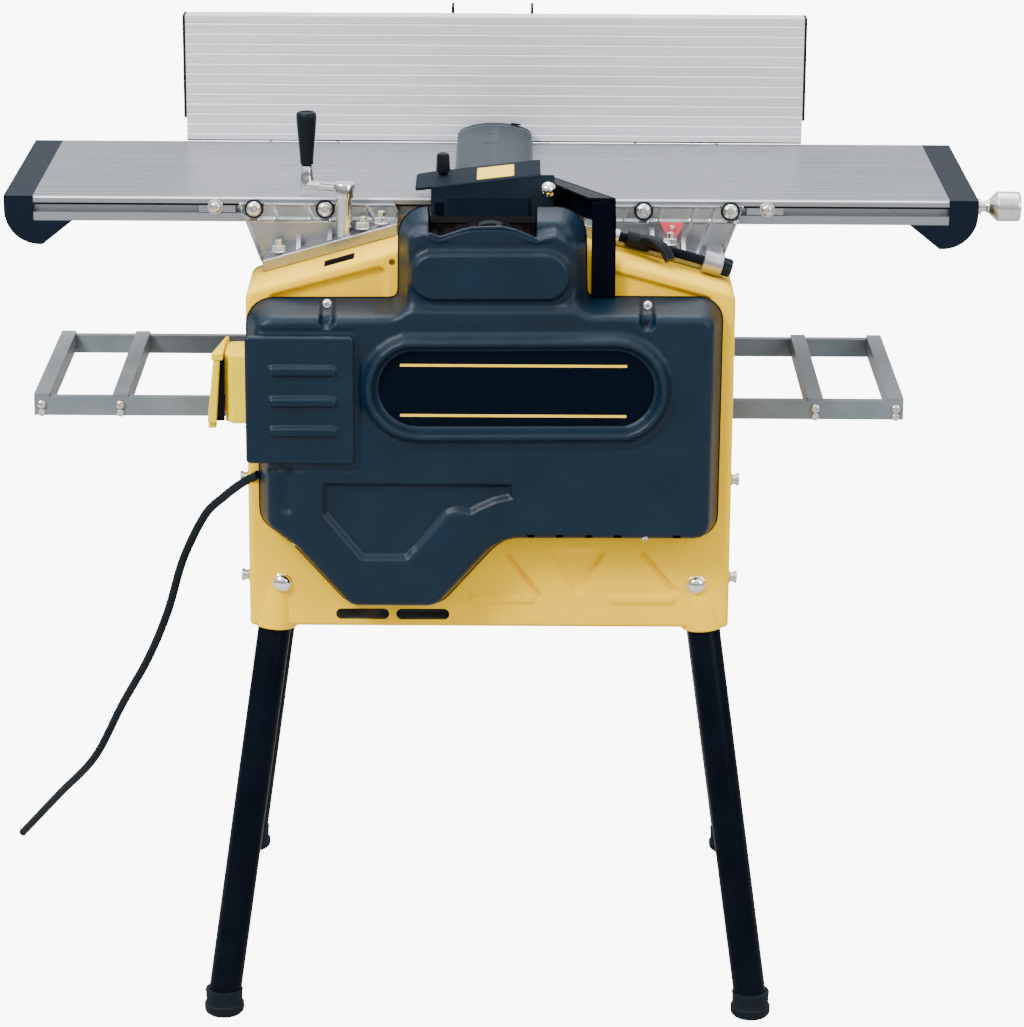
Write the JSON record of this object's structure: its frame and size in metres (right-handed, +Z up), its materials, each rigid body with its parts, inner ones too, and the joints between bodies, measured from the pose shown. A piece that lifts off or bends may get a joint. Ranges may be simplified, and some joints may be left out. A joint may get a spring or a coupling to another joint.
{
  "type": "planer thicknesser",
  "caption": "Combined surface planer and thickness planer on four splayed legs, with long ribbed tables, a tilting fence, a bridge guard and a crank-raised thicknessing table.",
  "frame": {"origin": "on the floor at the centre of the four feet", "axes": "+Z up, +X along the tables towards the infeed end with the depth knob, +Y from the drive cover towards the fence"},
  "size_m": [1.0962, 0.63, 0.996],
  "materials": {
    "yellow_paint": "satin powder coat",
    "black_paint": "semi-gloss",
    "rubber": "matt",
    "chrome": "polished",
    "ground_steel": "ground",
    "grey_paint": "satin",
    "table_aluminium": "ribbed extrusion",
    "fence_aluminium": "anodised",
    "navy_plastic": "fine grain",
    "cast_aluminium": "machined casting",
    "zinc_steel": "zinc plated",
    "stainless": "turned",
    "red_plastic": "gloss",
    "cast_iron": "as cast",
    "black_plastic": "matt",
    "grey_plastic": "matt",
    "lemon_plastic": "gloss",
    "green_plastic": "gloss"
  },
  "bodies": {
    "machine": {"front_wall": "yellow_paint", "rear_wall": "yellow_paint", "leg_sockets": "yellow_paint", "legs": "black_paint", "rubber_feet": "rubber", "body_studs": "chrome", "guide_columns": "ground_steel", "base_pan": "grey_paint", "outfeed_table": "table_aluminium", "outfeed_cap": "navy_plastic", "outfeed_front_bracket": "cast_aluminium", "outfeed_rear_bracket": "cast_aluminium", "outfeed_bolts": "zinc_steel", "bearing_blocks": "cast_iron", "motor_housing": "grey_paint", "drive_belt": "rubber", "fence_guide_block": "cast_aluminium", "guard_post": "black_paint", "chip_deflector": "black_paint", "drive_cover": "navy_plastic", "electrics_cover": "navy_plastic", "cover_screws": "black_plastic", "switch_housing": "lemon_plastic", "mains_cord": "rubber"},
    "infeed": {"infeed_table": "table_aluminium", "infeed_cap": "navy_plastic", "infeed_front_bracket": "cast_aluminium", "infeed_rear_bracket": "cast_aluminium", "infeed_bolts": "zinc_steel", "depth_pointer": "red_plastic"},
    "depth_knob": {"depth_knob": "stainless"},
    "table_lock": {"table_lock_lever": "black_paint"},
    "cutter": {"cutter_block": "ground_steel", "cutter_knives": "stainless", "cutter_pulley": "cast_aluminium"},
    "motor_rotor": {"motor_rotor": "ground_steel"},
    "infeed_roller": {"infeed_feed_roller": "ground_steel"},
    "outfeed_roller": {"outfeed_feed_roller": "ground_steel"},
    "fingers": {"kickback_fingers": "zinc_steel"},
    "thicknesser": {"thicknessing_table": "table_aluminium", "extension_rails": "grey_paint", "extension_crossbars": "grey_paint", "extension_screws": "zinc_steel"},
    "crank": {"lift_screw": "ground_steel", "crank_arm": "chrome"},
    "grip": {"crank_grip": "black_plastic"},
    "carriage": {"fence_carriage": "ground_steel"},
    "fence": {"fence_plate": "fence_aluminium", "fence_end_strips": "black_plastic", "fence_side_plates": "black_paint"},
    "tilt_lock": {"tilt_lock_bolt": "black_plastic"},
    "slide_lock": {"slide_lock_lever": "black_plastic"},
    "guard_head": {"guard_head": "black_paint"},
    "guard_beam": {"guard_beam": "grey_plastic"},
    "guard_knob": {"guard_knob": "black_plastic"},
    "guard_ball": {"guard_ball_knob": "chrome"},
    "start_button": {"start_button": "green_plastic"},
    "stop_button": {"stop_button": "red_plastic"},
    "switch_flap": {"switch_flap": "lemon_plastic"}
  },
  "joints": [
    {"name": "infeed_slide", "type": "slide", "parent": "machine", "child": "infeed", "axis": [0.9613, 0, -0.2756], "range_m": [0, 0.01088]},
    {"name": "depth_knob_turn", "type": "hinge", "parent": "infeed", "child": "depth_knob", "pos_m": [0.5, -0.088, 0.843], "axis": [1, 0, 0], "range_deg": [0, 1964]},
    {"name": "table_lock_turn", "type": "hinge", "parent": "infeed", "child": "table_lock", "pos_m": [0.118, -0.15, 0.827], "axis": [0.9613, 0, -0.2756], "range_deg": [-60, 0]},
    {"name": "cutter_spin", "type": "hinge", "parent": "machine", "child": "cutter", "pos_m": [0, 0, 0.826], "axis": [0, 1, 0], "continuous": true},
    {"name": "motor_spin", "type": "hinge", "parent": "machine", "child": "motor_rotor", "pos_m": [-0.075, 0, 0.52], "axis": [0, 1, 0], "continuous": true},
    {"name": "infeed_roller_spin", "type": "hinge", "parent": "machine", "child": "infeed_roller", "pos_m": [0.048, 0, 0.8095], "axis": [0, 1, 0], "continuous": true},
    {"name": "outfeed_roller_spin", "type": "hinge", "parent": "machine", "child": "outfeed_roller", "pos_m": [-0.048, 0, 0.8095], "axis": [0, 1, 0], "continuous": true},
    {"name": "finger_swing", "type": "hinge", "parent": "machine", "child": "fingers", "pos_m": [0.08, 0, 0.817], "axis": [0, 1, 0], "range_deg": [0, 30]},
    {"name": "table_lift", "type": "slide", "parent": "machine", "child": "thicknesser", "axis": [0, 0, 1], "range_m": [0, 0.155]},
    {"name": "crank_turn", "type": "hinge", "parent": "machine", "child": "crank", "pos_m": [-0.15, -0.123, 0.86], "axis": [0, 0, 1], "range_deg": [0, 13954]},
    {"name": "grip_spin", "type": "hinge", "parent": "crank", "child": "grip", "pos_m": [-0.1892, -0.0936, 0.9], "axis": [0, 0, 1], "continuous": true},
    {"name": "fence_slide", "type": "slide", "parent": "machine", "child": "carriage", "axis": [0, -1, 0], "range_m": [0, 0.074]},
    {"name": "fence_tilt", "type": "hinge", "parent": "carriage", "child": "fence", "pos_m": [0, 0.194, 0.863], "axis": [-1, 0, 0], "range_deg": [0, 45]},
    {"name": "tilt_lock_turn", "type": "hinge", "parent": "fence", "child": "tilt_lock", "pos_m": [0, 0.194, 0.863], "axis": [1, 0, 0], "range_deg": [0, 90]},
    {"name": "slide_lock_turn", "type": "hinge", "parent": "machine", "child": "slide_lock", "pos_m": [0.04, 0.23, 0.832], "axis": [1, 0, 0], "range_deg": [0, 70]},
    {"name": "guard_lift", "type": "slide", "parent": "machine", "child": "guard_head", "axis": [0, 0, 1], "range_m": [0, 0.06]},
    {"name": "guard_slide", "type": "slide", "parent": "guard_head", "child": "guard_beam", "axis": [0, -1, 0], "range_m": [0, 0.074]},
    {"name": "guard_knob_turn", "type": "hinge", "parent": "guard_head", "child": "guard_knob", "pos_m": [-0.0495, -0.097, 0.888], "axis": [0, 0, 1], "range_deg": [0, 360]},
    {"name": "guard_ball_turn", "type": "hinge", "parent": "guard_head", "child": "guard_ball", "pos_m": [0.0575, -0.16, 0.874], "axis": [0, 1, 0], "range_deg": [0, 180]},
    {"name": "start_press", "type": "slide", "parent": "machine", "child": "start_button", "axis": [1, 0, 0], "range_m": [0, 0.0025]},
    {"name": "stop_press", "type": "slide", "parent": "machine", "child": "stop_button", "axis": [1, 0, 0], "range_m": [0, 0.003]},
    {"name": "flap_swing", "type": "hinge", "parent": "machine", "child": "switch_flap", "pos_m": [-0.285, -0.165, 0.715], "axis": [0, 1, 0], "range_deg": [0, 100]}
  ],
  "couplings": [
    {"joint": "depth_knob_turn", "follows": "infeed_slide", "rad_per_m": 3141.6},
    {"joint": "crank_turn", "follows": "table_lift", "rad_per_m": 1570.8},
    {"joint": "motor_spin", "follows": "cutter_spin", "ratio": 0.8},
    {"joint": "infeed_roller_spin", "follows": "cutter_spin", "ratio": 0.0095238},
    {"joint": "outfeed_roller_spin", "follows": "cutter_spin", "ratio": 0.0095238},
    {"joint": "guard_slide", "follows": "fence_slide", "ratio": 1}
  ]
}
